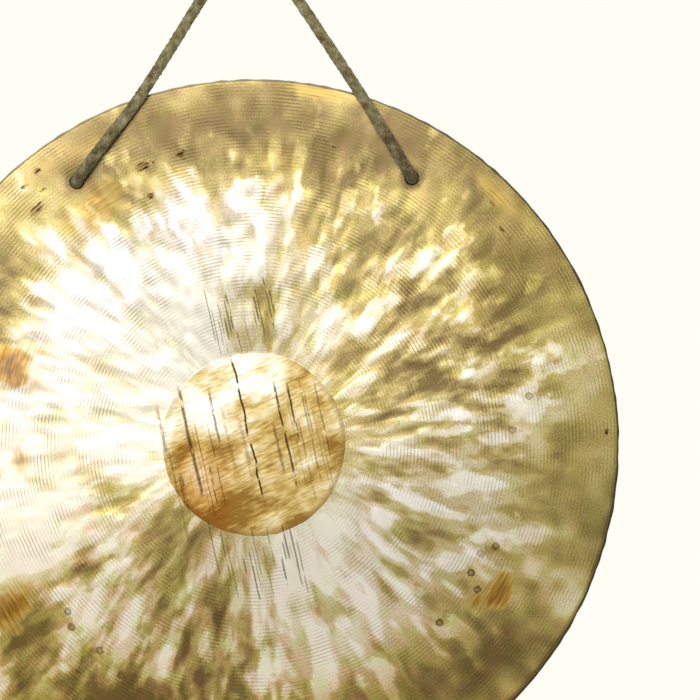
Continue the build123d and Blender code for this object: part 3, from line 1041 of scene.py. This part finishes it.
def open_hole(bm, hole_x):
    """Opens one cord hole through the plate, with a wall and a broken edge on both faces."""
    centre = Vector((hole_x, 0, HOLE_HEIGHT))
    near = [f for f in bm.faces if (f.calc_center_median() - centre).length < HOLE_RADIUS + 3 * MM]
    bmesh.ops.delete(bm, geom=near, context="FACES")
    edges = [e for e in bm.edges if e.is_boundary and (e.verts[0].co - centre).length < 3 * HOLE_RADIUS]
    circles = []
    for side in (-1, 1):
        loop = walked([e for e in edges if side * (e.verts[0].co.y + e.verts[1].co.y) > 0], centre)
        face_y = sum(v.co.y for v in loop) / len(loop)
        for radius, y in ((HOLE_RADIUS + HOLE_EDGE, face_y), (HOLE_RADIUS, face_y - side * HOLE_EDGE)):
            circle = []
            for k in range(HOLE_SEGMENTS):
                turn = 2 * math.pi * k / HOLE_SEGMENTS
                place = Vector((radius * math.cos(turn), y, radius * math.sin(turn)))
                circle.append(bm.verts.new(centre + place))
            circles.append(circle)
        zip_loops(bm, loop, circles[-2], centre)
    front_edge, front_wall, back_edge, back_wall = circles
    for one, other in ((front_edge, front_wall), (front_wall, back_wall), (back_wall, back_edge)):
        for k in range(HOLE_SEGMENTS):
            bm.faces.new((one[k - 1], one[k], other[k], other[k - 1]))


# ---- other materials ----
CORD_TONES = (
    (0.15, (0.065, 0.038, 0.010)),
    (0.40, (0.155, 0.124, 0.045)),
    (0.60, (0.212, 0.190, 0.088)),
    (0.85, (0.340, 0.295, 0.180)),
)
TWINE_TONES = ((0.25, (0.30, 0.21, 0.10)), (0.55, (0.48, 0.38, 0.22)), (0.8, (0.60, 0.51, 0.34)))


def cord_material():
    """Braided yarns, each of its own tone, darker near the holes and low on the right strand."""
    s = Shader("braided_cord")
    place = s.object_mm()
    yarn = s.attribute("yarn")
    blotch = s.noise(place, 1 / 7, detail=4.0, roughness=0.65)
    fibre = s.noise(place, 1 / 0.5, detail=3.0, roughness=0.7)
    x, _, z = s.split(place)
    near_holes = s.step(z, -238.0, -205.0, -0.14, 0.0)
    low_right = s.times(s.step(z, -240.0, -150.0, -0.13, 0.0), s.step(x, 10.0, 60.0))
    # darker near the holes and low on the right strand
    lower_darkening = s.add(near_holes, low_right)
    tone = s.add(s.times(yarn, 0.16), s.times(blotch, 1.9), s.times(s.minus(fibre, 0.5), 0.5), lower_darkening, -0.52)
    colour = s.ramp(tone, *CORD_TONES)
    normal = s.bump(s.times(fibre, 0.25))
    return s.finish(Base_Color=colour, Roughness=0.85, Sheen_Weight=0.15, Sheen_Roughness=0.5, Normal=normal)


def twine_material():
    """Waxed tan twine."""
    s = Shader("waxed_twine")
    place = s.object_mm()
    blotch = s.noise(place, 1 / 3, detail=3.0)
    fibre = s.noise(place, 1 / 0.25, detail=2.0, roughness=0.7)
    tone = s.add(s.times(blotch, 0.8), s.times(fibre, 0.3), -0.05)
    colour = s.ramp(tone, *TWINE_TONES)
    return s.finish(Base_Color=colour, Roughness=0.6, Sheen_Weight=0.2, Normal=s.bump(s.times(fibre, 0.12)))


def steel_material(name, base, rough, wear, grain_mm=(0.5, 0.5, 0.5)):
    """Metal with a drawn or turned grain, dull clouds, and small dark marks from handling."""
    s = Shader(name)
    place = s.object_mm()
    cloud = s.noise(place, 1 / 7, detail=4.0, roughness=0.6)
    to_grain = tuple(1 / size for size in grain_mm)
    grain = s.noise(s.vector("MULTIPLY", place, to_grain), 1.0, detail=3.0, roughness=0.65)
    spots = s.step(s.noise(place, 1 / 1.7, detail=3.0, roughness=0.7), 0.62, 0.72)
    dull = tuple(0.62 * c for c in base)
    dark = tuple(0.28 * c for c in base)
    colour = s.mix(s.times(s.step(cloud, 0.35, 0.70), 0.8), base, dull)
    colour = s.mix(s.times(s.minus(grain, 0.3, clamp=True), 0.5), colour, dull)
    colour = s.mix(s.times(spots, wear), colour, dark)
    roughness = s.add(rough, s.times(s.minus(cloud, 0.5), 0.3), s.times(spots, 0.2))
    normal = s.bump(s.add(s.times(grain, 0.03), s.times(spots, -0.03), s.times(cloud, 0.12)))
    return s.finish(Base_Color=colour, Metallic=1.0, Roughness=roughness, Normal=normal)


FITTINGS = {
    "s_hook": dict(base=(0.66, 0.65, 0.61), rough=0.26, grain_mm=(0.4, 3.0, 3.0), wear=0.6),
    "swivel_eye": dict(base=(0.50, 0.49, 0.47), rough=0.36, wear=0.7),
    "swivel_nut": dict(base=(0.62, 0.58, 0.46), rough=0.34, grain_mm=(1.5, 1.5, 0.2), wear=0.5),
    "thrust_washer": dict(base=(0.74, 0.56, 0.28), rough=0.30, grain_mm=(1.0, 1.0, 0.2), wear=0.4),
    "ceiling_plate": dict(base=(0.58, 0.57, 0.54), rough=0.38, grain_mm=(5.0, 0.25, 1.0), wear=0.5),
}


def floor_material():
    s = Shader("floor")
    return s.finish(Base_Color=(0.82, 0.81, 0.78), Roughness=0.9)


# ---- light and stage ----
LAMP_SIZE = 0.9
BACKGROUND = (1.0, 0.991, 0.915)
ROOM = (0.60, 0.60, 0.575)
FLOOR_RADIUS = 2.4
FLOOR_HEIGHT = -1.0


def area_light(name, place, power, colour):
    """A square lamp that faces the gong."""
    data = bpy.data.lights.new(name, "AREA")
    data.shape = "SQUARE"
    data.size = LAMP_SIZE
    data.energy = power
    data.color = colour
    lamp = add_object(name, data)
    lamp.location = place
    lamp.rotation_euler = (GONG_CENTRE - Vector(place)).to_track_quat("-Z", "Y").to_euler()
    lamp.visible_camera = False


def background(tree, colour):
    made = tree.nodes.new("ShaderNodeBackground")
    made.inputs[0].default_value = (*colour, 1)
    return made.outputs[0]


def make_world():
    """A near-white background, and a dimmer room for what the bronze reflects."""
    world = bpy.data.worlds.new("studio")
    bpy.context.scene.world = world
    world.use_nodes = True
    tree = world.node_tree
    tree.nodes.clear()
    out = tree.nodes.new("ShaderNodeOutputWorld")
    mix = tree.nodes.new("ShaderNodeMixShader")
    path = tree.nodes.new("ShaderNodeLightPath")
    seen = background(tree, BACKGROUND)
    room = background(tree, ROOM)
    tree.links.new(path.outputs["Is Camera Ray"], mix.inputs[0])
    tree.links.new(room, mix.inputs[1])
    tree.links.new(seen, mix.inputs[2])
    tree.links.new(mix.outputs[0], out.inputs[0])


def make_floor():
    place = (0, 0, FLOOR_HEIGHT)
    bpy.ops.mesh.primitive_circle_add(vertices=96, radius=FLOOR_RADIUS, fill_type="NGON", location=place)
    floor = bpy.context.object
    floor.name = "floor"
    floor.data.materials.append(floor_material())


# ---- build ----
make_camera()

cord_look = cord_material()
cord_line = nurbs_line("cord_route", CORD_ROUTE_MM)
cord = braided_cord("braided_sling", cord_line, CORD_DIAMETER)
cord.data.materials.append(cord_look)
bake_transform(cord)
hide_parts("hanging_cord")

twine_look = twine_material()
on_cord = []
for side in HOLE_XS:
    knot_line = nurbs_line("knot_route", knot_route(side))
    knot = braided_cord(side + "_overhand_knot", knot_line, KNOT_CORD_DIAMETER, seed=KNOT_SEED)
    knot.data.materials.append(cord_look)
    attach(knot, "gong")
    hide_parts(side + "_stopper_knot")
    twine = whipping(side)
    twine.data.materials.append(twine_look)
    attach(twine, "gong")
    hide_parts(side + "_tail_whipping")
    on_cord += [knot, twine]

plate = gong_plate()
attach(plate, "gong")
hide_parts("gong_plate")

for node, look in FITTINGS.items():
    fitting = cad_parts[node]
    fitting.data.materials.clear()
    fitting.data.materials.append(steel_material(node + "_metal", **look))

make_world()
area_light("key", (-0.33, -1.75, 0.45), 22.5, (1.0, 0.985, 0.955))
area_light("back", (0.7, 1.9, 0.35), 20, (1.0, 0.99, 0.97))
make_floor()
bpy.context.scene.view_settings.view_transform = "Standard"
